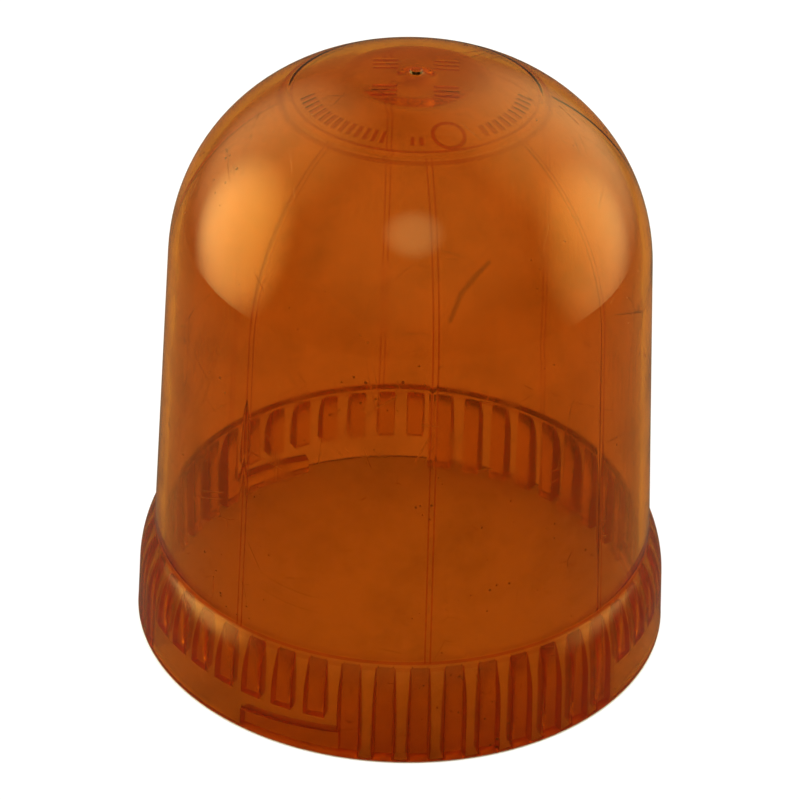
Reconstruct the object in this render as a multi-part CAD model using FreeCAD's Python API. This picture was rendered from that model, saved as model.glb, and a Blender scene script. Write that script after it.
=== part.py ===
import FreeCAD, Part
import math, os
os.makedirs("parts", exist_ok=True)
V = FreeCAD.Vector

# ---- driving dimensions, mm and degrees -------------------------------------
HEIGHT = 157.2          # rim to the top of the crown, without the sprue stub
WALL = 2.5              # moulded wall, the same everywhere
COLLAR_R = 71.0         # outside of the bayonet collar at the rim
SIDE_LEAN = 0.8         # the collar's side leans in by this much up to its shoulder
SHOULDER_Z = 14.0       # the shoulder starts to round here
LEDGE_Z = 27.6          # crease where the collar meets the wall
LEDGE_STEP = 5.05       # the wall starts this far inside the collar
WALL_DRAFT = 3.56       # the wall leans in by this much
HAUNCH_ARC = 52.0       # arc from the wall into the crown
HAUNCH_FACES = 4        # it is laid in this many equal bands
CROWN_ARC = 190.0       # much flatter arc over the top
RIM_CHAMFER = 0.4

RIB_COUNT = 48          # grip and guide ribs inside the collar
RIB_W = 5.0
RIB_DEEP = 4.1          # their crests form the bore that the base's spigot slides into
RIB_TOP = 25.2
RIB_END = 1.3           # chamfered upper corners
RIB_AT = 4.95           # azimuth of the first rib, from the front (-Y) towards +X

LUG_COUNT = 3           # bayonet lugs, one per third of the collar
LUG_FROM = -34.4        # azimuth of the lead-in end of the first lug
STOP_RIB = -2           # the lug ends in this rib, counted from the first: its stop
LUG_DEEP = 3.3
LUG_H_IN = 4.4          # height at the lead-in end
LUG_H_STOP = 6.4        # height at the stop: the top is the ramp that pulls the lens down
CHANNEL_Z = 10.0        # ribs above a lug and its way in end here
SHORT_RIBS = 7          # ribs cut short in each third, counted back from the stop
DETENT_W, DETENT_L, DETENT_DEEP = 2.4, 4.2, 0.4
DETENT_Z = 10.4

BEAD_R = 31.0           # ring bead under the crown
BEAD_W = 1.8
BEAD_H = 0.9
PAD_R = 16.5            # flat pad inside, under the middle of the crown
DIMPLE_R = 4.6          # round dimple in the pad, opposite the sprue
DIMPLE_DEEP = 0.6
GATE_R = 1.6            # sprue stub on top
GATE_H = 0.7

# ---- sizes that follow ------------------------------------------------------
SHOULDER_R = COLLAR_R - SIDE_LEAN
WALL_R = COLLAR_R - LEDGE_STEP
GROOVE_R = COLLAR_R - WALL                      # inside of the collar between ribs
RIB_R = GROOVE_R - RIB_DEEP
LUG_R = GROOVE_R - LUG_DEEP
PITCH = 360.0 / RIB_COUNT
STOP_AT = RIB_AT + PITCH * STOP_RIB             # azimuth of the rib that stops the first lug
ROOT = WALL / 2                                 # what is added reaches this far into the wall


def turned(shape, azimuth):
    """The shape, drawn along +X, turned to an azimuth."""
    copy = shape.copy()
    copy.rotate(V(0, 0, 0), V(0, 0, 1), azimuth - 90.0)
    return copy


def revolve(edges):
    return Part.Face(Part.Wire(edges)).revolve(V(0, 0, 0), V(0, 0, 1), 360)


def line(a, b):
    return Part.makeLine(V(a[0], 0, a[1]), V(b[0], 0, b[1]))


def arcs(centre, radius, a, b, count=1):
    """Arc from a to b, two points on a circle, by the shorter way, in count equal lengths."""
    a0 = math.atan2(a[1] - centre[1], a[0] - centre[0])
    a1 = math.atan2(b[1] - centre[1], b[0] - centre[0])

    def point(share):
        if share in (0, 1):
            return V(b[0], 0, b[1]) if share else V(a[0], 0, a[1])
        m = a0 + (a1 - a0) * share
        return V(centre[0] + radius * math.cos(m), 0, centre[1] + radius * math.sin(m))

    return [Part.Arc(point(i / count), point((i + 0.5) / count), point((i + 1) / count)).toShape()
            for i in range(count)]


# ---- the outline, solved once: every arc is tangent to its neighbours -------
draft = math.radians(WALL_DRAFT)
OUT = (math.cos(draft), math.sin(draft))        # normal of the drafted wall
UP = (-math.sin(draft), math.cos(draft))        # direction up the wall
CROWN_C = (0.0, HEIGHT - CROWN_ARC)


def haunch_centre():
    bx = WALL_R - OUT[0] * HAUNCH_ARC
    bz = LEDGE_Z - OUT[1] * HAUNCH_ARC - CROWN_C[1]
    half = bx * UP[0] + bz * UP[1]
    reach = CROWN_ARC - HAUNCH_ARC
    s = -half + math.sqrt(half * half - bx * bx - bz * bz + reach * reach)
    return (bx + UP[0] * s, bz + UP[1] * s + CROWN_C[1])


HAUNCH_C = haunch_centre()
side = math.atan2(COLLAR_R - SHOULDER_R, SHOULDER_Z)
SIDE_OUT = (math.cos(side), math.sin(side))     # normal of the collar's side
dr, dz = SHOULDER_R - WALL_R, LEDGE_Z - SHOULDER_Z
SHOULDER_ARC = (dr * dr + dz * dz) / (2 * (dr * SIDE_OUT[0] - dz * SIDE_OUT[1]))
SHOULDER_C = (SHOULDER_R - SIDE_OUT[0] * SHOULDER_ARC, SHOULDER_Z - SIDE_OUT[1] * SHOULDER_ARC)


def at(centre, direction, distance):
    return (centre[0] + direction[0] * distance, centre[1] + direction[1] * distance)


def crown_edges(inset, start):
    """Wall, haunch and crown, from start up to the axis, set in by inset."""
    span = math.hypot(HAUNCH_C[0], HAUNCH_C[1] - CROWN_C[1])
    to_crown = (HAUNCH_C[0] / span, (HAUNCH_C[1] - CROWN_C[1]) / span)
    top_of_wall = at(HAUNCH_C, OUT, HAUNCH_ARC - inset)
    top_of_haunch = at(HAUNCH_C, to_crown, HAUNCH_ARC - inset)
    apex = (0.0, HEIGHT - inset)
    haunch = arcs(HAUNCH_C, HAUNCH_ARC - inset, top_of_wall, top_of_haunch, HAUNCH_FACES)
    crown = arcs(CROWN_C, CROWN_ARC - inset, top_of_haunch, apex)
    return [line(start, top_of_wall)] + haunch + crown, apex


def outer_solid():
    crease = (WALL_R, LEDGE_Z)
    shoulder = (SHOULDER_R, SHOULDER_Z)
    foot = (COLLAR_R - RIM_CHAMFER, 0.0)
    heel = (COLLAR_R, RIM_CHAMFER)
    edges, apex = crown_edges(0.0, crease)
    lower = [line((0, 0), foot), line(foot, heel), line(heel, shoulder)]
    lower += arcs(SHOULDER_C, SHOULDER_ARC, shoulder, crease)
    return revolve(lower + edges + [line(apex, (0, 0))])


def cavity_solid():
    """The hollow, parallel to the outside, wide inside the collar."""
    foot = (COLLAR_R - WALL / SIDE_OUT[0], 0.0)
    shoulder = at((SHOULDER_R, SHOULDER_Z), SIDE_OUT, -WALL)
    bx = WALL_R - OUT[0] * WALL - SHOULDER_C[0]
    bz = LEDGE_Z - OUT[1] * WALL - SHOULDER_C[1]
    half = bx * UP[0] + bz * UP[1]
    radius = SHOULDER_ARC - WALL
    s = -half + math.sqrt(half * half - bx * bx - bz * bz + radius * radius)
    ledge = (bx + UP[0] * s + SHOULDER_C[0], bz + UP[1] * s + SHOULDER_C[1])
    edges, apex = crown_edges(WALL, ledge)
    low = (foot[0], -WALL)
    lower = [line((0, -WALL), low), line(low, foot), line(foot, shoulder)]
    lower += arcs(SHOULDER_C, radius, shoulder, ledge)
    return revolve(lower + edges + [line(apex, (0, -WALL))])


def ring(radius, top):
    """Everything outside a cylinder, up to top: trims ribs and lugs to their crests."""
    far = COLLAR_R * 1.1
    return revolve([line((radius, -WALL), (far, -WALL)), line((far, -WALL), (far, top)),
                    line((far, top), (radius, top)), line((radius, top), (radius, -WALL))])


def rib(bottom):
    """One rib along +X: a bar with chamfered upper corners, its crest on the spigot bore."""
    h, c, x = RIB_W / 2, RIB_END, RIB_R * 0.95
    corners = [(-h, bottom), (h, bottom), (h, RIB_TOP - c), (h - c, RIB_TOP),
               (c - h, RIB_TOP), (-h, RIB_TOP - c), (-h, bottom)]
    wire = Part.makePolygon([V(x, y, z) for y, z in corners])
    bar = Part.Face(wire).extrude(V(COLLAR_R - x, 0, 0))
    return bar.common(ring(RIB_R, LEDGE_Z))


def detent():
    """Small oval recess low on the rib that stops each lug."""
    half, r = DETENT_L / 2 - DETENT_W / 2, DETENT_W / 2
    reach = RIB_DEEP
    box = Part.makeBox(reach, 2 * r, 2 * half, V(0, -r, -half))
    ends = [Part.makeCylinder(r, reach, V(0, 0, z), V(1, 0, 0)) for z in (-half, half)]
    oval = box.fuse(ends).removeSplitter()
    oval.translate(V(RIB_R + DETENT_DEEP - reach, 0, DETENT_Z))
    return oval


def ribs():
    """All ribs. In each third the ones over a lug and its way in end at the channel."""
    long_rib, short_rib = rib(-WALL), rib(CHANNEL_Z)
    per_third = RIB_COUNT // LUG_COUNT
    marked = long_rib.cut(detent())
    solids = []
    for k in range(RIB_COUNT):
        place = (k - STOP_RIB) % per_third
        shape = marked if place == 0 else long_rib
        if place >= per_third - SHORT_RIBS:
            shape = short_rib
        solids.append(turned(shape, RIB_AT + PITCH * k))
    return solids


def lug():
    """One bayonet lug along +X, its lead-in end towards -Y, its other end in the stop rib."""
    half = math.radians((STOP_AT - LUG_FROM) / 2)
    y = GROOVE_R * math.sin(half)
    x = LUG_R * 0.9
    wire = Part.makePolygon([V(x, -y, -WALL), V(x, y, -WALL), V(x, y, LUG_H_STOP),
                             V(x, -y, LUG_H_IN), V(x, -y, -WALL)])
    bar = Part.Face(wire).extrude(V(COLLAR_R - x, 0, 0))
    return bar.common(ring(LUG_R, LEDGE_Z))


def lugs():
    middle = (LUG_FROM + STOP_AT) / 2
    one = lug()
    return [turned(one, middle + 360.0 / LUG_COUNT * k) for k in range(LUG_COUNT)]


def bead():
    """Ring under the crown, a trapezium in section, standing on the inner surface."""
    dx = (BEAD_R - HAUNCH_C[0]) / (HAUNCH_ARC - WALL)
    n = (dx, math.sqrt(1 - dx * dx))            # normal of the haunch over the bead
    t = (n[1], -n[0])
    foot = at(HAUNCH_C, n, HAUNCH_ARC - WALL)
    section = [(-0.5, 0.5), (0.5, 0.5), (0.5, 0.0), (0.3, -1.0), (-0.3, -1.0), (-0.5, 0.0)]
    points = [at(at(foot, t, BEAD_W * a), n, BEAD_H * b) for a, b in section]
    return revolve([line(points[i - 1], points[i]) for i in range(len(points))])


def padded(cavity):
    """The cavity with its top cut flat for the pad, and the dimple sunk in the pad."""
    z = HAUNCH_C[1] + math.sqrt((HAUNCH_ARC - WALL) ** 2 - (PAD_R - HAUNCH_C[0]) ** 2)
    above = Part.makeCylinder(BEAD_R, HEIGHT, V(0, 0, z))
    dimple = Part.makeCylinder(DIMPLE_R, ROOT + DIMPLE_DEEP, V(0, 0, z - ROOT))
    return cavity.cut(above).fuse(dimple)


def lens():
    air = padded(cavity_solid()).cut(ribs() + lugs())
    gate = Part.makeCylinder(GATE_R, GATE_H + ROOT, V(0, 0, HEIGHT - ROOT))
    return outer_solid().cut(air).fuse([bead(), gate]).removeSplitter()


shape = lens()
if len(shape.Solids) != 1 or not shape.isValid():
    raise RuntimeError("the lens is not one sound solid: %d" % len(shape.Solids))
shape = shape.Solids[0]
shape.exportStep("parts/lens.step")
box = shape.BoundBox
print("lens %.2f x %.2f x %.2f mm, volume %.1f cm3, faces %d"
      % (box.XLength, box.YLength, box.ZLength, shape.Volume / 1000, len(shape.Faces)))
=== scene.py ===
import bpy
import math
import numpy as np
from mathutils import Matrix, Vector


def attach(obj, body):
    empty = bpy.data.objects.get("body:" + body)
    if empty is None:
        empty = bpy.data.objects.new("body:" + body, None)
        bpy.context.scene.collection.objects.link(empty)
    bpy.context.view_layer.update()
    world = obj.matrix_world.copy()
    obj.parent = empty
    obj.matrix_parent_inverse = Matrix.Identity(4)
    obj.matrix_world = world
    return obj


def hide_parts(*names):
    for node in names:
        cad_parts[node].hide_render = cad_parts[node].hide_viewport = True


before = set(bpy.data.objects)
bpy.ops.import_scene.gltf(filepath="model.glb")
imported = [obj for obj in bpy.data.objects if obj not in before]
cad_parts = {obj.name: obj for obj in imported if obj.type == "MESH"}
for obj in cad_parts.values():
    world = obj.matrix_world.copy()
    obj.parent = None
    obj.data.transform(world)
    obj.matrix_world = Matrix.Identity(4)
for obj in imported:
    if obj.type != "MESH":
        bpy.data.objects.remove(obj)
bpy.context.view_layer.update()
mm = 0.001


def say(text):
    print("beacon lens:", text)


def hexColour(code):
    # sRGB hex to the linear values that the sockets take
    parts = [int(code[i:i + 2], 16) / 255 for i in (1, 3, 5)]
    linear = [p / 12.92 if p <= 0.04045 else ((p + 0.055) / 1.055) ** 2.4 for p in parts]
    return (*linear, 1.0)


def addNode(tree, kind, inputs=None, out=0, **settings):
    # one node with its settings; an input takes a value, or another node's socket as a link
    node = tree.nodes.new("ShaderNode" + kind)
    for name, value in settings.items():
        setattr(node, name, value)
    for name, value in (inputs or {}).items():
        if isinstance(value, bpy.types.NodeSocket):
            tree.links.new(value, node.inputs[name])
        else:
            node.inputs[name].default_value = value
    return node.outputs[out] if node.outputs else node


# the lens is one moulding, built as one closed skin; sizes in mm
lensShape = {
    "height": 157.2, "wall": 2.5,
    "collarR": 70.97, "sideLean": 0.8, "shoulderZ": 14.0,
    "ledgeZ": 27.6, "ledgeStep": 5.05, "draft": 3.56,
    "haunchArc": 52.0, "crownArc": 190.0,
    "rimRound": 0.5, "creaseRound": 0.25, "mouthHigh": 0.35, "mouthDeep": 0.3,
    "gateR": 1.6, "gateH": 0.7,
    "padR": 15.7, "padSoft": 1.8,
    "dimpleR": 4.6, "dimpleDeep": 0.45, "dimpleIn": 0.6, "dimpleSoft": 1.7,
    "beadR": 30.95, "beadW": 3.4, "beadH": 0.14,
}
# ribs inside the collar, alike in each third of it; the short ones end above a lug
ribShape = {
    "count": 48, "perThird": 16, "at": 4.95, "width": 5.0, "deep": 4.1, "top": 25.2,
    "edge": 0.35, "sideDraft": 0.06, "topRound": 0.7, "shortEnd": 10.0,
    "stopRib": -2, "shortRibs": 7, "columns": 5,
    # rounding of a short rib's lower end: height from it, and how much of the rib's depth is there
    "endAt": (-0.35, -0.1, 0.0, 0.04, 0.14, 0.4), "endShare": (0.0, 0.025, 0.085, 0.915, 0.975, 1.0),
}
lugShape = {
    "deep": 3.3, "highIn": 4.4, "highStop": 6.4,
    "firstRib": 13, "lead": 0.35, "rampPitches": 3.2,      # it starts in this rib of its third
    # rounding of its upper edge: height from it, and how much of the lug's depth is there
    "edgeAt": (-0.3, -0.09, 0.0, 0.04, 0.13, 0.34), "edgeShare": (1.0, 0.975, 0.9, 0.1, 0.025, 0.0),
}
detentShape = {"width": 2.4, "length": 4.2, "deep": 0.2, "z": 10.4,
               "columns": (0.35, 0.7, 0.9, 1.0, 1.1, 1.3), "from": 0.35, "to": 1.3}
# faint lands left between the segments of the mould's core; their edges are soft
splitLines = {"count": 8, "at": 6.56, "width": 1.3, "high": 0.02, "meanR": 62.0,
              "edgeIn": 0.14, "edgeMiddle": 0.02, "edgeOut": 0.08}
leastGap = 0.02          # columns closer than this, in degrees, are one
mattFrom = 0.06          # a flank is matt where its depth is this far from both of its ends

draft = math.radians(lensShape["draft"])
wallOut = (math.cos(draft), math.sin(draft))
wallUp = (-math.sin(draft), math.cos(draft))
wallR = lensShape["collarR"] - lensShape["ledgeStep"]
crownC = (0.0, lensShape["height"] - lensShape["crownArc"])


def haunchCentre():
    # the arc that is tangent to the drafted wall and, from inside, to the crown's arc
    bx = wallR - wallOut[0] * lensShape["haunchArc"]
    bz = lensShape["ledgeZ"] - wallOut[1] * lensShape["haunchArc"] - crownC[1]
    half = bx * wallUp[0] + bz * wallUp[1]
    reach = lensShape["crownArc"] - lensShape["haunchArc"]
    s = -half + math.sqrt(half * half - bx * bx - bz * bz + reach * reach)
    return (bx + wallUp[0] * s, bz + wallUp[1] * s + crownC[1])


haunchC = haunchCentre()
toCrown = math.atan2(haunchC[1] - crownC[1], haunchC[0])
shoulderR = lensShape["collarR"] - lensShape["sideLean"]
sideAngle = math.atan2(lensShape["sideLean"], lensShape["shoulderZ"])
dr, dz = shoulderR - wallR, lensShape["ledgeZ"] - lensShape["shoulderZ"]
shoulderArc = (dr * dr + dz * dz) / (2 * (dr * math.cos(sideAngle) - dz * math.sin(sideAngle)))
shoulderC = (shoulderR - math.cos(sideAngle) * shoulderArc,
             lensShape["shoulderZ"] - math.sin(sideAngle) * shoulderArc)


def arcPoints(centre, radius, a0, a1, count):
    return [(centre[0] + radius * math.cos(a), centre[1] + radius * math.sin(a))
            for a in np.linspace(a0, a1, count)]


def crownRows():
    # from the axis down to the top of the wall
    crown = arcPoints(crownC, lensShape["crownArc"], math.pi / 2, toCrown, 9)[1:-1]
    haunch = arcPoints(haunchC, lensShape["haunchArc"], toCrown, draft, 34)
    return crown + haunch


def outerRows():
    # sprue stub, crown, haunch, wall, crease, shoulder, side and rim, as (radius, height)
    top, r, h = lensShape["height"], lensShape["gateR"], lensShape["gateH"]
    # the stub, with its edge and its foot rounded
    rows = [(r * 0.55, top + h), (r - 0.25, top + h), (r - 0.07, top + h - 0.07), (r, top + h - 0.25),
            (r, top + 0.15), (r + 0.08, top + 0.02), (r + 0.3, top - 0.01)]
    rows += [p for p in crownRows() if p[0] > r + 1.0]
    # down the straight wall, by distance from the crease
    rows += [(wallR + wallUp[0] * s, lensShape["ledgeZ"] + wallUp[1] * s) for s in (60, 40, 20, 8, 2)]
    cr = lensShape["creaseRound"]
    rows += [(wallR + wallUp[0] * cr, lensShape["ledgeZ"] + wallUp[1] * cr)]
    a1 = math.atan2(lensShape["ledgeZ"] - shoulderC[1], wallR - shoulderC[0])
    rows += arcPoints(shoulderC, shoulderArc, a1 - cr / shoulderArc, sideAngle, 12)
    rows += [(lensShape["collarR"] - lensShape["sideLean"] * z / lensShape["shoulderZ"], z)
             for z in (9.0, 4.0, 1.2)]
    e = lensShape["rimRound"]
    rows += [(lensShape["collarR"] - e + e * math.cos(a), e - e * math.sin(a))
             for a in np.linspace(0, math.pi / 2, 4)]
    return rows


def grooveRadius(z):
    # inside of the collar between the ribs, parallel to its outside
    side = lensShape["collarR"] - lensShape["wall"] - lensShape["sideLean"] * z / lensShape["shoulderZ"]
    zc, rad = shoulderC[1], shoulderArc - lensShape["wall"]
    arc = shoulderC[0] + np.sqrt(np.maximum(rad * rad - (z - zc) ** 2, 0.0))
    return np.where(z < lensShape["shoulderZ"], side, arc)


def innerLedge():
    # where the inner shoulder meets the inner wall
    w = lensShape["wall"]
    bx = wallR - wallOut[0] * w - shoulderC[0]
    bz = lensShape["ledgeZ"] - wallOut[1] * w - shoulderC[1]
    half = bx * wallUp[0] + bz * wallUp[1]
    rad = shoulderArc - w
    s = -half + math.sqrt(half * half - bx * bx - bz * bz + rad * rad)
    return (bx + wallUp[0] * s + shoulderC[0], bz + wallUp[1] * s + shoulderC[1])


pitch = 360.0 / ribShape["count"]
halfPitch = math.radians(pitch / 2) * (lensShape["collarR"] - lensShape["wall"])   # in mm at the groove
scaleDeg = (pitch / 2) / halfPitch                                                # degrees per mm


def ribKnots():
    # distance from the rib's middle in mm, and how much of the rib's depth is there
    h, e, d = ribShape["width"] / 2, ribShape["edge"], ribShape["sideDraft"]
    share = e / ribShape["deep"]
    k = 1 - math.sqrt(0.5)
    return [(0.0, 1.0), (h - e, 1.0), (h - e * k, 1 - share * k), (h, 1 - share),
            (h + d, share), (h + d + e * k, share * k), (h + d + e, 0.0), (halfPitch, 0.0)]


def columnAngles():
    knots = [s for s, _ in ribKnots()]
    marks = set()
    for i in range(ribShape["count"]):
        middle = ribShape["at"] + pitch * i
        offsets = sorted(set([-s for s in knots[:-1]] + knots))
        if (i - ribShape["stopRib"]) % ribShape["perThird"] == 0:
            w = detentShape["width"] / 2
            offsets += [q * w * sign for q in detentShape["columns"] for sign in (-1, 1)]
        for s in offsets:
            marks.add(round((middle + s * scaleDeg) % 360.0, 5))
    wallMm = math.degrees(1 / splitLines["meanR"])
    for i in range(splitLines["count"]):
        middle = splitLines["at"] + 360.0 / splitLines["count"] * i
        w = splitLines["width"] / 2
        out, mid, back = splitLines["edgeOut"], splitLines["edgeMiddle"], splitLines["edgeIn"]
        for s in (-w - out, -w + mid, -w + back, w - back, w - mid, w + out):
            marks.add(round((middle + s * wallMm) % 360.0, 5))
    angles = sorted(marks)
    kept = [angles[0]]
    for a in angles[1:]:
        if a - kept[-1] > leastGap:
            kept.append(a)
    return np.array(kept)


def innerRowHeights():
    # heights of the collar's inner rows; the lug rows follow the lug's ramp
    lugRows = [("lug", q) for q in lugShape["edgeAt"]]
    fixed = [0.0, 0.1, lensShape["mouthHigh"], 1.6, 3.2]
    upper = [7.4, 13.2, 14.0, 15.5, 17.0, 18.5, 20.0, 21.5, 22.6, 23.4]
    upper += [ribShape["shortEnd"] + q for q in ribShape["endAt"]]
    d0, d1 = detentShape["z"] - detentShape["length"] / 2, detentShape["z"] + detentShape["length"] / 2
    upper += [d0 - 0.25, d0 - 0.05, d0 + 0.15, d0 + 0.5, d0 + 1.0]
    upper += [d1 - 1.0, d1 - 0.5, d1 - 0.15, d1 + 0.05, d1 + 0.25]
    z0, c = ribShape["top"] - ribShape["topRound"], ribShape["topRound"]
    tops = [z0 + c * q for q in (0.0, 0.35, 0.6, 0.8, 0.92, 1.0)]
    return fixed + lugRows + sorted(upper) + tops


def smoothStep(x, a, b):
    t = np.clip((x - a) / (b - a), 0.0, 1.0)
    return t * t * (3 - 2 * t)


def buildInner(angles):
    # grid of points, rows from the rim up to the pad; ribs, lugs, detents and lands are part of it
    rows, matt = [], []
    local = (angles - ribShape["at"] + pitch / 2) % 360.0
    index = np.floor(local / pitch).astype(int)
    s = (local - (index + 0.5) * pitch) / scaleDeg            # mm from the nearest rib's middle
    ks, kb = np.array(ribKnots()).T
    ribHere = np.interp(np.abs(s), ks, kb)
    perThird, lugFirst = ribShape["perThird"], lugShape["firstRib"]
    place = (index - ribShape["stopRib"]) % perThird
    short = place >= perThird - ribShape["shortRibs"]
    # a lug runs from the middle of its first rib to the stop rib
    lugHere = np.where((place > lugFirst) | ((place == lugFirst) & (s > 0)), 1.0,
                       np.where(place == lugFirst, ribHere, 0.0))
    lugHere = np.where(place == 0, np.where(s < 0, 1.0, 0.0), lugHere)
    along = np.where(place == 0, perThird, place) - lugFirst + s / (2 * halfPitch)
    ramp = np.clip((along + lugShape["lead"]) / lugShape["rampPitches"], 0.0, 1.0)
    lugTop = lugShape["highIn"] + (lugShape["highStop"] - lugShape["highIn"]) * ramp
    grooveFoot = grooveRadius(np.array([0.0]))[0]
    crest = grooveFoot - ribShape["deep"]
    lugR = grooveFoot - lugShape["deep"]
    for item in innerRowHeights():
        if isinstance(item, tuple):
            z = lugTop + item[1]
        else:
            z = np.full(len(angles), float(item))
        groove = grooveRadius(z)
        # the rib's upper corners are rounded: its side columns move in towards its middle
        c = ribShape["topRound"]
        up = np.clip(z - (ribShape["top"] - c), 0.0, c)
        shrink = c - np.sqrt(c * c - up * up)
        ax = np.abs(s)
        k1, k2 = ks[1], ks[6]
        moved = np.where(ax <= k1, ax * (k1 - shrink) / k1,
                         np.where(ax <= k2, ax - shrink,
                                  k2 - shrink + (ax - k2) * (halfPitch - k2 + shrink) / (halfPitch - k2)))
        az = angles + (np.sign(s) * moved - s) * scaleDeg
        endShare = np.interp(z, [ribShape["shortEnd"] + q for q in ribShape["endAt"]], ribShape["endShare"])
        depth = ribHere * np.where(short, endShare, 1.0)
        r = groove - np.maximum(groove - crest, 0.0) * depth
        lugShare = lugHere * np.interp(z - lugTop, lugShape["edgeAt"], lugShape["edgeShare"])
        r = np.minimum(r, groove - (groove - lugR) * lugShare)
        steep = np.maximum(np.minimum(depth, 1 - depth), np.minimum(lugShare, 1 - lugShare))
        matt.append(np.clip(steep / mattFrom, 0.0, 1.0))
        # rounded mouth of ribs and lugs at the rim
        high = lensShape["mouthHigh"]
        opened = 1 - np.sqrt(np.clip(1 - ((high - z) / high) ** 2, 0, 1))
        r = r + np.where(z < high, lensShape["mouthDeep"] * opened, 0.0)
        # oval detent in the stop rib's crest
        w, l = detentShape["width"] / 2, detentShape["length"] / 2 - detentShape["width"] / 2
        dist = np.hypot(s, np.maximum(np.abs(z - detentShape["z"]) - l, 0.0))
        hollow = 1 - smoothStep(dist, w * detentShape["from"], w * detentShape["to"])
        r = r + np.where(place == 0, detentShape["deep"] * hollow, 0.0)
        rows.append(np.stack([r, az, z], 1))
    ledgeR, ledgeZ = innerLedge()
    for z in (25.9, 26.5):                                    # up the inner shoulder
        zz = np.full(len(angles), z)
        rows.append(np.stack([grooveRadius(zz), angles, zz], 1))
    # lands between the core segments, on the wall and haunch
    half = 180.0 / splitLines["count"]
    away = np.abs((angles - splitLines["at"] + half) % (2 * half) - half) * math.radians(splitLines["meanR"])
    w = splitLines["width"] / 2
    land = 1 - smoothStep(away, w - splitLines["edgeIn"], w + splitLines["edgeOut"])
    inset = lensShape["wall"]
    profile = [(ledgeR + wallUp[0] * t, ledgeZ + wallUp[1] * t) for t in (0.0, 0.3, 1.0, 6, 20, 40, 60)]
    profile = [(p, wallOut) for p in profile]
    arcLength = lensShape["haunchArc"] - inset
    beadAngle = math.acos((lensShape["beadR"] - haunchC[0]) / arcLength)
    haunchAngles = list(np.linspace(draft, toCrown, 33))
    half = lensShape["beadW"] / 2
    beadSteps = [0.0, half * 0.4, half * 0.62, half * 0.85, half, half + 0.15]
    beadSteps = [-q for q in beadSteps[:0:-1]] + beadSteps
    haunchAngles = [a for a in haunchAngles if abs(a - beadAngle) * arcLength > half + 0.5]
    haunchAngles = sorted(haunchAngles + [beadAngle + q / arcLength for q in beadSteps])
    padAngle = math.acos((lensShape["padR"] - haunchC[0]) / arcLength)
    for a in haunchAngles:
        if haunchC[0] + arcLength * math.cos(a) < lensShape["padR"] + lensShape["padSoft"] + 0.6:
            break
        n0 = (math.cos(a), math.sin(a))
        q = (a - beadAngle) * arcLength
        high = lensShape["beadH"] * math.cos(min(abs(q) / half, 1.0) * math.pi / 2) ** 2
        p = (haunchC[0] + n0[0] * (arcLength - high), haunchC[1] + n0[1] * (arcLength - high))
        profile.append((p, n0))
    padZ = haunchC[1] + arcLength * math.sin(padAngle)
    soft = lensShape["padSoft"]
    slope = 1 / math.tan(padAngle)
    for q in (1.0, 0.75, 0.5, 0.25, 0.0, -0.25, -0.5, -0.75, -1.0, -2.0):
        # the pad's edge is blended over a few millimetres each side
        fall = slope * soft * max(q + 1, 0.0) ** 2 / 4
        profile.append(((lensShape["padR"] + q * soft, padZ - fall), (0.0, 0.0)))
    middle, deep = lensShape["dimpleR"] - lensShape["dimpleIn"], lensShape["dimpleDeep"]
    for q in np.linspace(-1.0, 1.0, 7):
        r = middle - lensShape["dimpleSoft"] * q
        profile.append(((r, padZ + deep * smoothStep(q, -1.0, 1.0)), (0.0, 0.0)))
    profile.append(((1.2, padZ + deep), (0.0, 0.0)))
    for (r, z), normal in profile:
        raised = land * splitLines["high"] if r > lensShape["beadR"] + half else 0.0 * land
        rows.append(np.stack([r - raised * normal[0], angles, z - raised * normal[1]], 1))
    matt += [np.zeros(len(angles))] * (len(rows) - len(matt))
    return np.array(rows), np.array(matt), padZ + deep


def toWorld(rows):
    r, az, z = rows[..., 0], np.radians(rows[..., 1]), rows[..., 2]
    return np.stack([r * np.sin(az), -r * np.cos(az), z], -1) * mm


def gridNormals(points, rows, flip):
    # tangents from both neighbours, weighted for uneven spacing, so the wall stays optically clean
    def along(axis, gap):
        ahead = np.roll(points, -1, axis) - points
        back = points - np.roll(points, 1, axis)
        g1, g0 = gap[..., None], np.roll(gap, 1, axis)[..., None]
        return (ahead / g1 * g0 + back / g0 * g1) / (g0 + g1)
    az = np.radians(rows[..., 1])
    gapA = (np.roll(az, -1, 1) - az) % (2 * math.pi)
    tangentA = along(1, np.maximum(gapA, 1e-5))
    step = np.linalg.norm(np.roll(points, -1, 0) - points, axis=-1)
    tangentB = along(0, np.maximum(step, 1e-7))
    tangentB[0] = points[1] - points[0]
    tangentB[-1] = points[-1] - points[-2]
    n = np.cross(tangentA, tangentB) * flip
    return n / np.maximum(np.linalg.norm(n, axis=-1, keepdims=True), 1e-12)


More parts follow.
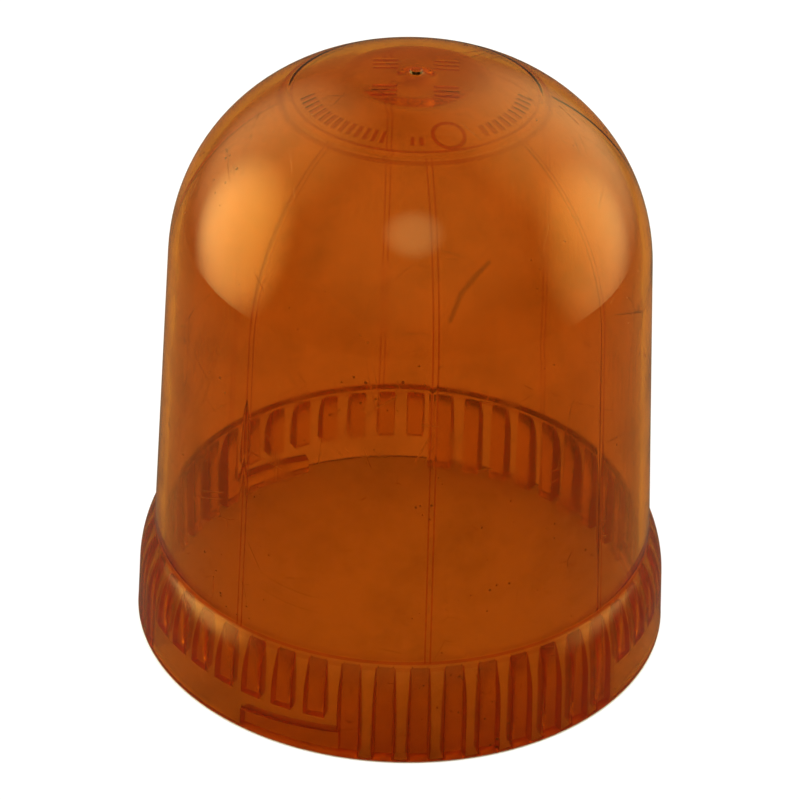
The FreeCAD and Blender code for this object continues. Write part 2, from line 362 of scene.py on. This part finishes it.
def buildLens():
    inAngles = columnAngles()
    columns = ribShape["columns"]
    outAngles = ribShape["at"] + np.arange(ribShape["count"] * columns) * pitch / columns
    innerRows, innerMatt, topZ = buildInner(inAngles)
    profile = outerRows()[::-1]                 # from the rim up
    outRows = np.array([[(r, a, z) for a in outAngles] for r, z in profile])
    inPoints, outPoints = toWorld(innerRows), toWorld(outRows)
    ni, no = len(inAngles), len(outAngles)
    gateTop = lensShape["height"] + lensShape["gateH"]
    verts = np.concatenate([inPoints.reshape(-1, 3), outPoints.reshape(-1, 3),
                            [[0, 0, topZ * mm], [0, 0, gateTop * mm]]])
    normals = np.concatenate([gridNormals(inPoints, innerRows, -1).reshape(-1, 3),
                              gridNormals(outPoints, outRows, 1).reshape(-1, 3),
                              [[0, 0, -1], [0, 0, 1]]])
    faces = []
    for i in range(len(innerRows) - 1):
        for j in range(ni):
            k = (j + 1) % ni
            faces.append((i * ni + j, (i + 1) * ni + j, (i + 1) * ni + k, i * ni + k))
    base = len(innerRows) * ni
    for i in range(len(outRows) - 1):
        for j in range(no):
            k = (j + 1) % no
            low, high = base + i * no, base + (i + 1) * no
            faces.append((low + j, low + k, high + k, high + j))
    poleIn, poleOut = len(verts) - 2, len(verts) - 1
    last = (len(innerRows) - 1) * ni
    faces += [(last + j, poleIn, last + (j + 1) % ni) for j in range(ni)]
    last = base + (len(outRows) - 1) * no
    faces += [(last + j, last + (j + 1) % no, poleOut) for j in range(no)]
    # the flat rim between the two skins
    firstIn = [int(np.argmin(np.abs((inAngles - a + 180) % 360 - 180))) for a in outAngles]
    for j in range(no):
        a, b = firstIn[j], firstIn[(j + 1) % no]
        run = [a]
        while run[-1] != b:
            run.append((run[-1] + 1) % ni)
        faces.append(tuple([base + (j + 1) % no, base + j] + run))
    mesh = bpy.data.meshes.new("lensSkin")
    mesh.from_pydata(verts.tolist(), [], faces)
    mesh.update()
    for polygon in mesh.polygons:
        polygon.use_smooth = True
    mesh.normals_split_custom_set_from_vertices(normals.tolist())
    # the second material is for what the mould left matt: flanks of ribs and lugs, and the rim's underside
    across = np.minimum(innerMatt[:-1], innerMatt[1:])
    across = (across + np.roll(across, -1, 1)) / 2 > 0.5
    isMatt = np.zeros(len(faces), dtype=int)
    isMatt[:across.size] = across.ravel()
    isMatt[-no:] = 1
    mesh.polygons.foreach_set("material_index", isMatt.tolist())
    # which skin a point is on
    inside = mesh.attributes.new("inside", "FLOAT", "POINT")
    onInner = [1.0] * (len(innerRows) * ni) + [0.0] * (len(outRows) * no) + [1.0, 0.0]
    inside.data.foreach_set("value", onInner)
    lens = bpy.data.objects.new("amberLens", mesh)
    bpy.context.scene.collection.objects.link(lens)
    say(f"skin of {len(faces)} faces, {ni} columns inside, {no} outside")
    return lens


amberLens = buildLens()
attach(amberLens, "root")
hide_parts("lens")

# amber polycarbonate, injection moulded in a polished tool and scuffed in use: a dyed clear plastic, so
# what is behind it shows through in amber, long paths through it turn red, and the gloss is glassy
polycarbonate = {
    # the last colour below is the dark red of painted shade, put on the witness lines, bead flanks, rib
    # crests, crown marks, the spot round the sprue and the corner at the ledge
    "dye": "#CC8D64", "grime": "#A5703F", "grimeShare": 0.60, "dirt": "#5A2E12", "paintedShadeRed": "#A32D1E",
    "ior": 1.585, "roughness": 0.02, "wornRoughness": 0.13, "collarRoughness": 0.22,
    "specularTint": (1.0, 0.62, 0.16, 1.0),     # the scuffed skin scatters some of its gloss back in amber
    "tint": (0.995, 0.940, 0.60, 1.0), "density": 1000.0,   # what is left after 1 mm of it
    "smudgeMm": 14.0, "grimeMm": 19.0, "speckMm": 3.2, "speckR": 0.14, "speckPatchMm": 25.0,
    "smudgeFrom": 0.50, "smudgeTo": 0.72, "grimeFrom": 0.46, "grimeTo": 0.76,
    # hairline scratches, straight edges of cells: how the cells are turned, their size in mm, how many show
    "scratches": (((0.3, 0.2, 0.5), 26.0, 0.65), ((1.1, 0.7, -0.4), 12.0, 0.68),
                  ((-0.5, 1.3, 0.9), 40.0, 0.63)),
    "scratchFrom": 0.05, "scratchTo": 0.14,      # mm from its middle, full there and gone here
    "scratchDepth": 0.02, "flowMm": 22.0, "flowDepth": 0.05, "markHigh": 0.045,
    "lineHalf": 0.20, "cornerHalf": 0.40, "crestR": 64.9, "linesUnderLedge": 1.5,
    # where the bead's flanks get painted shade, by its width
    "flankAt": 0.42, "innerFlankHalf": 0.30, "outerFlankHalf": 0.55,    # the bead's flanks, by its width
    "crownFrom": 120.0, "spotFrom": 3.0, "spotTo": 4.6, "spotShare": 0.45,
    # how much of the painted shade's dark red each place gets
    "paintedShadeOf": {"lines": 0.85, "inner flank": 0.85, "outer flank": 0.65, "marks": 0.95, "corner": 0.75,
              "rib": 0.4},
    # a scuff on the haunch: azimuth from the front, height and half width of each of its bends
    "scuff": ((20.3, 133.0, 0.5), (16.2, 130.5, 0.6), (12.4, 127.3, 0.6), (9.6, 121.6, 0.5)),
    "scuffDark": 0.62, "scuffFrom": 0.4, "scuffTo": 1.6, "scratchDark": 0.24, "dirtRoughness": 0.4,
}
# raised marks inside the crown: bars on arcs, one plain ring and four groups of short bars, no lettering
crownMarks = {
    # first bar's azimuth, bars, their step in degrees, radius of their middles, half length
    "arcs": ((-75.7, 14, 4.6, 26.2, 1.7), (-0.7, 2, 4.6, 26.6, 1.2), (38.45, 10, 4.9, 26.2, 1.7)),
    "ring": (18.6, 25.2, 3.7, 0.45),             # azimuth, radius out, its own radius and half width
    # the groups' middles, to the right and to the front
    "groups": ((7.4, -6.6), (7.4, 7.6), (-7.4, -6.6), (-7.4, 7.6)),
    "barHalf": 0.55, "groupHalf": 3.0, "groupStep": 2.2, "groupBars": 3, "soft": 0.2,
}


def perMetre(size):
    # texture scale for a pattern whose features are size mm across
    return 1.0 / (size * mm)


def onHaunch(azimuth, height):
    # a point of the outer skin, in mm, with y towards the front
    a = math.radians(azimuth)
    r = haunchC[0] + math.sqrt(lensShape["haunchArc"] ** 2 - (height - haunchC[1]) ** 2)
    return Vector((r * math.sin(a), r * math.cos(a), height))


def amberPolycarbonate(spec):
    material = bpy.data.materials.new("amber_polycarbonate")
    material.use_nodes = True
    tree = material.node_tree
    tree.nodes.clear()
    coords = addNode(tree, "TexCoord", out="Object")
    inside = addNode(tree, "Attribute", out="Fac", attribute_name="inside")

    # place in mm with y towards the front, radius, height, and azimuth from the front
    place = addNode(tree, "VectorMath", {0: coords, 1: (1000.0, -1000.0, 1000.0)}, operation="MULTIPLY")
    axes = addNode(tree, "SeparateXYZ", {0: place}).node.outputs
    x, y, height = axes["X"], axes["Y"], axes["Z"]
    plan = addNode(tree, "VectorMath", {0: place, 1: (1.0, 1.0, 0.0)}, operation="MULTIPLY")
    radius = addNode(tree, "VectorMath", {0: plan}, out="Value", operation="LENGTH")
    azimuth = addNode(tree, "Math", {0: x, 1: y}, operation="ARCTAN2")
    onCrown = addNode(tree, "Math", {0: height, 1: spec["crownFrom"]}, operation="GREATER_THAN")
    onCrown = addNode(tree, "Math", {0: onCrown, 1: inside}, operation="MULTIPLY")

    # smudges from handling, which dull the gloss, and faint grime that was wiped off unevenly
    cloud = addNode(tree, "TexNoise", {"Vector": coords, "Scale": perMetre(spec["smudgeMm"]),
                                       "Detail": 4.0, "Roughness": 0.6})
    rough = addNode(tree, "MapRange", {"Value": cloud, "From Min": spec["smudgeFrom"],
                                       "From Max": spec["smudgeTo"], "To Min": spec["roughness"],
                                       "To Max": spec["wornRoughness"]})
    cloud = addNode(tree, "TexNoise", {"Vector": coords, "Scale": perMetre(spec["grimeMm"]),
                                       "Detail": 5.0, "Roughness": 0.65})
    grime = addNode(tree, "MapRange", {"Value": cloud, "From Min": spec["grimeFrom"],
                                       "From Max": spec["grimeTo"], "To Max": spec["grimeShare"]})

    # specks of dirt about 0.6 mm across, in patches
    cell = addNode(tree, "TexVoronoi", {"Vector": coords, "Scale": perMetre(spec["speckMm"])})
    patch = addNode(tree, "TexNoise", {"Vector": coords, "Scale": perMetre(spec["speckPatchMm"]),
                                       "Detail": 3.0, "Roughness": 0.55})
    reach = addNode(tree, "MapRange", {"Value": patch, "From Min": spec["smudgeFrom"],
                                       "From Max": spec["smudgeTo"], "To Max": spec["speckR"]})
    dark = addNode(tree, "Math", {0: cell, 1: reach}, operation="LESS_THAN")

    # hairline scratches, kept only in short stretches
    scratched = 0.0
    for turn, size, shown in spec["scratches"]:
        turned = addNode(tree, "Mapping", {"Vector": coords, "Rotation": turn, "Location": turn})
        edge = addNode(tree, "TexVoronoi", {"Vector": turned, "Scale": perMetre(size)},
                       feature="DISTANCE_TO_EDGE")
        thin = addNode(tree, "MapRange", {"Value": edge, "From Min": spec["scratchFrom"] / size,
                                          "From Max": spec["scratchTo"] / size, "To Min": 1.0, "To Max": 0.0})
        stretch = addNode(tree, "TexNoise", {"Vector": turned, "Scale": perMetre(size * 0.6),
                                             "Detail": 2.0, "Roughness": 0.5})
        kept = addNode(tree, "MapRange", {"Value": stretch, "From Min": shown - 0.06, "From Max": shown})
        thin = addNode(tree, "Math", {0: thin, 1: kept}, operation="MULTIPLY")
        scratched = addNode(tree, "Math", {0: scratched, 1: thin}, operation="MAXIMUM")
    faint = addNode(tree, "Math", {0: scratched, 1: spec["scratchDark"]}, operation="MULTIPLY")
    dark = addNode(tree, "Math", {0: dark, 1: faint}, operation="MAXIMUM")

    # the scuff: distance from each straight run between its bends
    for first, second in zip(spec["scuff"], spec["scuff"][1:]):
        start, end = onHaunch(*first[:2]), onHaunch(*second[:2])
        run = end - start
        fromStart = addNode(tree, "VectorMath", {0: place, 1: start}, operation="SUBTRACT")
        share = addNode(tree, "VectorMath", {0: fromStart, 1: run / run.length_squared}, out="Value",
                        operation="DOT_PRODUCT")
        share = addNode(tree, "Clamp", {"Value": share})
        nearest = addNode(tree, "VectorMath", {0: share, 1: run, 2: start}, operation="MULTIPLY_ADD")
        away = addNode(tree, "VectorMath", {0: place, 1: nearest}, out="Value", operation="DISTANCE")
        wide = addNode(tree, "MapRange", {"Value": share, "To Min": first[2], "To Max": second[2]})
        away = addNode(tree, "Math", {0: away, 1: wide}, operation="DIVIDE")
        stroke = addNode(tree, "MapRange", {"Value": away, "From Min": spec["scuffFrom"],
                                            "From Max": spec["scuffTo"], "To Min": spec["scuffDark"],
                                            "To Max": 0.0})
        dark = addNode(tree, "Math", {0: dark, 1: stroke}, operation="MAXIMUM")

    # painted shade: witness lines of the core's segments, painted dark red, a pair at each, from the shoulder
    # to the bead
    fromLand = addNode(tree, "Math", {0: azimuth, 1: math.radians(splitLines["at"])}, operation="SUBTRACT")
    fromLand = addNode(tree, "Math", {0: fromLand, 1: math.pi / splitLines["count"]}, operation="PINGPONG")
    fromLand = addNode(tree, "Math", {0: fromLand, 1: radius}, operation="MULTIPLY")
    lines = addNode(tree, "Math", {0: fromLand, 1: splitLines["width"] / 2, 2: spec["lineHalf"]},
                    operation="COMPARE")
    below = addNode(tree, "Math", {0: radius, 1: lensShape["beadR"]}, operation="GREATER_THAN")
    lowest = lensShape["ledgeZ"] - spec["linesUnderLedge"]
    above = addNode(tree, "Math", {0: height, 1: lowest}, operation="GREATER_THAN")

    # painted shade: the bead's flanks, and the corner between wall and shoulder, turn the light away, and are
    # painted darker red for it
    bead, half = lensShape["beadR"], lensShape["beadW"] * spec["flankAt"]
    innerFlank = addNode(tree, "Math", {0: radius, 1: bead - half, 2: spec["innerFlankHalf"]},
                         operation="COMPARE")
    outerFlank = addNode(tree, "Math", {0: radius, 1: bead + half, 2: spec["outerFlankHalf"]},
                         operation="COMPARE")
    atWall = addNode(tree, "Math", {0: radius, 1: wallR, 2: spec["cornerHalf"]}, operation="COMPARE")
    atLedge = addNode(tree, "Math", {0: height, 1: lensShape["ledgeZ"], 2: spec["cornerHalf"]},
                      operation="COMPARE")

    # painted shade: the ribs' crests, a thicker way through the plastic, are painted darker red
    crest = addNode(tree, "Math", {0: radius, 1: spec["crestR"]}, operation="LESS_THAN")
    ribHigh = addNode(tree, "Math", {0: height, 1: ribShape["top"]}, operation="LESS_THAN")

    # marks inside the crown: raised by the bump, and painted darker red as painted shade
    soft, marks = crownMarks["soft"], 0.0
    for start, count, step, middle, long in crownMarks["arcs"]:
        gap = math.radians(step) * middle
        turn = addNode(tree, "Math", {0: azimuth, 1: 1 / math.radians(step), 2: -start / step},
                       operation="MULTIPLY_ADD")
        across = addNode(tree, "Math", {0: turn, 1: 0.5}, operation="PINGPONG")
        bar = addNode(tree, "MapRange", {"Value": across, "From Min": (crownMarks["barHalf"] - soft) / gap,
                                         "From Max": (crownMarks["barHalf"] + soft) / gap,
                                         "To Min": 1.0, "To Max": 0.0})
        here = addNode(tree, "Math", {0: turn, 1: (count - 1) / 2, 2: count / 2}, operation="COMPARE")
        along = addNode(tree, "Math", {0: radius, 1: middle, 2: long}, operation="COMPARE")
        bar = addNode(tree, "Math", {0: bar, 1: here}, operation="MULTIPLY")
        bar = addNode(tree, "Math", {0: bar, 1: along}, operation="MULTIPLY")
        marks = addNode(tree, "Math", {0: marks, 1: bar}, operation="MAXIMUM")
    turn, out, own, thick = crownMarks["ring"]
    middle = (out * math.sin(math.radians(turn)), out * math.cos(math.radians(turn)), 0.0)
    away = addNode(tree, "VectorMath", {0: plan, 1: middle}, out="Value", operation="DISTANCE")
    ring = addNode(tree, "Math", {0: away, 1: own, 2: thick}, operation="COMPARE")
    marks = addNode(tree, "Math", {0: marks, 1: ring}, operation="MAXIMUM")
    for right, front in crownMarks["groups"]:
        gap = crownMarks["groupStep"]
        turn = addNode(tree, "Math", {0: y, 1: 1 / gap, 2: -front / gap}, operation="MULTIPLY_ADD")
        across = addNode(tree, "Math", {0: turn, 1: 0.5}, operation="PINGPONG")
        bar = addNode(tree, "MapRange", {"Value": across, "From Min": (crownMarks["barHalf"] - soft) / gap,
                                         "From Max": (crownMarks["barHalf"] + soft) / gap,
                                         "To Min": 1.0, "To Max": 0.0})
        here = addNode(tree, "Math", {0: turn, 1: 0.0, 2: crownMarks["groupBars"] / 2}, operation="COMPARE")
        along = addNode(tree, "Math", {0: x, 1: right, 2: crownMarks["groupHalf"]}, operation="COMPARE")
        bar = addNode(tree, "Math", {0: bar, 1: here}, operation="MULTIPLY")
        bar = addNode(tree, "Math", {0: bar, 1: along}, operation="MULTIPLY")
        marks = addNode(tree, "Math", {0: marks, 1: bar}, operation="MAXIMUM")
    marks = addNode(tree, "Math", {0: marks, 1: onCrown}, operation="MULTIPLY")
    # painted shade: a darker red spot round the sprue, inside the crown
    spot = addNode(tree, "MapRange", {"Value": radius, "From Min": spec["spotFrom"],
                                      "From Max": spec["spotTo"], "To Min": spec["spotShare"],
                                      "To Max": 0.0})

    # the collar's outside is handled most, and is duller
    outer = addNode(tree, "Math", {0: 1.0, 1: inside}, operation="SUBTRACT")
    gripped = addNode(tree, "Math", {0: height, 1: lensShape["ledgeZ"]}, operation="LESS_THAN")
    gripped = addNode(tree, "Math", {0: gripped, 1: outer}, operation="MULTIPLY")

    # painted shade: places painted darker red to stand for light lost or turned away in them, each with where
    # it is and how strongly
    paintedShade = 0.0
    for factors in ((lines, inside, below, above, spec["paintedShadeOf"]["lines"]),
                    (innerFlank, onCrown, spec["paintedShadeOf"]["inner flank"]),
                    (outerFlank, onCrown, spec["paintedShadeOf"]["outer flank"]),
                    (crest, ribHigh, inside, spec["paintedShadeOf"]["rib"]),
                    (marks, spec["paintedShadeOf"]["marks"]), (spot, onCrown),
                    (atWall, atLedge, spec["paintedShadeOf"]["corner"])):
        share = factors[0]
        for factor in factors[1:]:
            share = addNode(tree, "Math", {0: share, 1: factor}, operation="MULTIPLY")
        paintedShade = addNode(tree, "Math", {0: paintedShade, 1: share}, operation="MAXIMUM")
    colour = hexColour(spec["dye"])
    # grime and dirt are the plastic's own; the dark red mixed in between them is painted shade
    for share, other in ((grime, "grime"), (paintedShade, "paintedShadeRed"), (dark, "dirt")):
        colour = addNode(tree, "Mix", {0: share, 6: colour, 7: hexColour(spec[other])}, out=2,
                         data_type="RGBA")
    for share, most in ((dark, spec["dirtRoughness"]), (gripped, spec["collarRoughness"])):
        dull = addNode(tree, "Math", {0: share, 1: most}, operation="MULTIPLY")
        rough = addNode(tree, "Math", {0: rough, 1: dull}, operation="MAXIMUM")

    # slow waves of the moulded skin, with the marks on it and the scratches in it, in mm
    high = addNode(tree, "TexNoise", {"Vector": coords, "Scale": perMetre(spec["flowMm"]),
                                      "Detail": 1.0, "Roughness": 0.4})
    high = addNode(tree, "Math", {0: high, 1: spec["flowDepth"]}, operation="MULTIPLY")
    high = addNode(tree, "Math", {0: marks, 1: spec["markHigh"], 2: high}, operation="MULTIPLY_ADD")
    high = addNode(tree, "Math", {0: scratched, 1: -spec["scratchDepth"], 2: high},
                   operation="MULTIPLY_ADD")
    skin = addNode(tree, "Bump", {"Strength": 1.0, "Distance": mm, "Height": high})

    shader = addNode(tree, "BsdfPrincipled", {
        "Transmission Weight": 1.0, "IOR": spec["ior"], "Specular Tint": spec["specularTint"],
        "Base Color": colour, "Roughness": rough, "Normal": skin})
    volume = addNode(tree, "VolumeAbsorption", {"Color": spec["tint"], "Density": spec["density"]})
    addNode(tree, "OutputMaterial", {"Surface": shader, "Volume": volume})
    return material


# the same plastic where the mould's steel was only cut, not polished: it scatters light, and looks redder
mattPolycarbonate = {"deep": "#D9501F", "light": "#EE6C33", "ior": polycarbonate["ior"], "roughness": 0.38,
                     "transmission": 0.55, "mottleMm": 2.5,
                     "tint": polycarbonate["tint"], "density": polycarbonate["density"]}


def unpolishedPolycarbonate(spec):
    material = bpy.data.materials.new("matt_amber_polycarbonate")
    material.use_nodes = True
    tree = material.node_tree
    tree.nodes.clear()
    coords = addNode(tree, "TexCoord", out="Object")
    mottle = addNode(tree, "TexNoise", {"Vector": coords, "Scale": perMetre(spec["mottleMm"]),
                                        "Detail": 3.0})
    colour = addNode(tree, "Mix", {0: mottle, 6: hexColour(spec["deep"]), 7: hexColour(spec["light"])},
                     out=2, data_type="RGBA")
    shader = addNode(tree, "BsdfPrincipled", {
        "Transmission Weight": spec["transmission"], "IOR": spec["ior"], "Roughness": spec["roughness"],
        "Base Color": colour})
    volume = addNode(tree, "VolumeAbsorption", {"Color": spec["tint"], "Density": spec["density"]})
    addNode(tree, "OutputMaterial", {"Surface": shader, "Volume": volume})
    return material


amberLens.data.materials.append(amberPolycarbonate(polycarbonate))
amberLens.data.materials.append(unpolishedPolycarbonate(mattPolycarbonate))
say("polycarbonate made")

studio = {
    "paper": "#F2FFFA", "tableR": 480.0, "underRim": 0.05,
    "underLens": 71.0,                         # the paper inside the rim is lit in amber
    "whiteEmission": 0.95, "paperShare": 0.12, "glossyShare": 0.05,
    # painted shade in reflections: where the lens's gloss sees the paper outside the rim, it is painted the
    # dark brown below
    "roomColour": "#FFEFD2", "roomStrength": 0.54, "roomInGloss": 0.05, "paperShadeInGloss": "#5E4B36",
    # soft lamps: azimuth from the front, elevation, inner and outer half angle, strength, colour
    "lamps": ((-95, 11, 0, 35, 4.3, "#FFF3B0"), (-120, 31, 0, 44, 1.5, "#FFF3B0"),
              (99, 9, 0, 35, 2.4, "#FFF3B0"), (128, 29, 0, 47, 1.6, "#FFF3B0"),
              (0, 56, 5, 68, 0.55, "#FFE9B0"), (2, 53, 3, 15, 2.6, "#B4DCFF")),
}


def whiteShare(tree):
    # what the camera sees, direct or through the lens, is the white sweep; gloss shows some of it
    path = addNode(tree, "LightPath").node.outputs
    gloss = addNode(tree, "Math", {0: path["Is Glossy Ray"], 1: studio["glossyShare"]}, operation="MULTIPLY")
    seen = addNode(tree, "Math", {0: path["Is Camera Ray"], 1: path["Is Transmission Ray"]},
                   operation="MAXIMUM")
    return addNode(tree, "Math", {0: seen, 1: gloss}, operation="MAXIMUM")


def paleFloor():
    # a round table top, just under the rim
    reach = studio["tableR"] * mm
    turns = np.radians(np.arange(0, 360, 3))
    edge = [(reach * math.cos(a), reach * math.sin(a), -studio["underRim"] * mm) for a in turns]
    mesh = bpy.data.meshes.new("floor")
    mesh.from_pydata(edge, [], [tuple(range(len(edge)))])
    floor = bpy.data.objects.new("floor", mesh)
    bpy.context.scene.collection.objects.link(floor)
    material = bpy.data.materials.new("paper_sweep")
    material.use_nodes = True
    tree = material.node_tree
    tree.nodes.clear()
    place = addNode(tree, "NewGeometry", out="Position")
    away = addNode(tree, "VectorMath", {0: place}, out="Value", operation="LENGTH")
    outside = addNode(tree, "Math", {0: away, 1: studio["underLens"] * mm}, operation="GREATER_THAN")
    share = addNode(tree, "Math", {0: whiteShare(tree), 1: outside}, operation="MULTIPLY")
    strength = addNode(tree, "Math", {0: share, 1: studio["whiteEmission"]}, operation="MULTIPLY")
    # painted shade in reflections: the paper outside the rim turns dark brown where gloss sees it
    inGloss = addNode(tree, "LightPath", out="Is Glossy Ray")
    inGloss = addNode(tree, "Math", {0: inGloss, 1: outside}, operation="MULTIPLY")
    colour = hexColour(studio["paper"])
    seen = (*[studio["paperShare"]] * 3, 1.0)
    for factor, other in ((inGloss, hexColour(studio["paperShadeInGloss"])), (share, seen)):
        colour = addNode(tree, "Mix", {0: factor, 6: colour, 7: other}, out=2, data_type="RGBA")
    paper = addNode(tree, "BsdfDiffuse", {"Color": colour})
    white = addNode(tree, "Emission", {"Strength": strength})
    both = addNode(tree, "AddShader", {0: paper, 1: white})
    addNode(tree, "OutputMaterial", {"Surface": both})
    floor.data.materials.append(material)


def paleRoom():
    world = bpy.data.worlds.new("studio")
    bpy.context.scene.world = world
    world.use_nodes = True
    tree = world.node_tree
    tree.nodes.clear()
    direction = addNode(tree, "TexCoord", out="Generated")
    share = whiteShare(tree)
    gloss = addNode(tree, "LightPath", out="Is Glossy Ray")
    strength = addNode(tree, "MapRange", {"Value": gloss, "To Min": studio["roomStrength"],
                                          "To Max": studio["roomInGloss"]})
    strength = addNode(tree, "MapRange", {"Value": share, "To Min": strength, "To Max": 1.0})
    colour = addNode(tree, "Mix", {0: share, 6: hexColour(studio["roomColour"]), 7: (1.0, 1.0, 1.0, 1.0)},
                     out=2, data_type="RGBA")
    light = addNode(tree, "VectorMath", {0: colour, "Scale": strength}, operation="SCALE")
    for turn, elevation, inner, outer, power, tone in studio["lamps"]:
        a, e = math.radians(turn), math.radians(elevation)
        aim = (math.sin(a) * math.cos(e), -math.cos(a) * math.cos(e), math.sin(e))
        near = addNode(tree, "VectorMath", {0: direction, 1: aim}, out="Value", operation="DOT_PRODUCT")
        glow = addNode(tree, "MapRange", {"Value": near, "From Min": math.cos(math.radians(outer)),
                                          "From Max": math.cos(math.radians(inner)), "To Max": power},
                       interpolation_type="SMOOTHSTEP")
        light = addNode(tree, "VectorMath", {0: glow, 1: hexColour(tone)[:3], 2: light},
                        operation="MULTIPLY_ADD")
    room = addNode(tree, "Background", {"Color": light, "Strength": 1.0})
    addNode(tree, "OutputWorld", {"Surface": room})


def makeCamera():
    # aimed at the lens from above its rim, rolled a little
    spec = {"distance": 728.8, "elevation": 32.40, "aimHeight": 63.9, "lens": 126.0,
            "pan": -0.0021, "tilt": -0.0012, "roll": -0.0312}
    e = math.radians(spec["elevation"])
    away = Vector((0, -math.cos(e), math.sin(e)))
    place = away * spec["distance"] * mm + Vector((0, 0, spec["aimHeight"] * mm))
    ahead = -away
    right = Vector((1, 0, 0))
    up = right.cross(ahead)
    p, t, q = spec["pan"], spec["tilt"], spec["roll"]
    right, ahead = (math.cos(p) * right - math.sin(p) * ahead, math.sin(p) * right + math.cos(p) * ahead)
    up, ahead = (math.cos(t) * up - math.sin(t) * ahead, math.sin(t) * up + math.cos(t) * ahead)
    right, up = (math.cos(q) * right - math.sin(q) * up, math.sin(q) * right + math.cos(q) * up)
    data = bpy.data.cameras.new("camera")
    data.lens, data.sensor_width = spec["lens"], 36.0
    data.clip_start, data.clip_end = 0.01, 20.0
    camera = bpy.data.objects.new("camera", data)
    bpy.context.scene.collection.objects.link(camera)
    matrix = camera.matrix_world.copy()
    for i in range(3):
        matrix[i][0], matrix[i][1], matrix[i][2], matrix[i][3] = right[i], up[i], -ahead[i], place[i]
    camera.matrix_world = matrix
    bpy.context.scene.camera = camera


paleFloor()
paleRoom()
makeCamera()
bpy.context.scene.view_settings.view_transform = "Standard"
paths = bpy.context.scene.cycles           # light stays long in ribs that work as light guides
paths.max_bounces, paths.glossy_bounces, paths.transmission_bounces = 24, 12, 20
say("floor, lights and camera set")
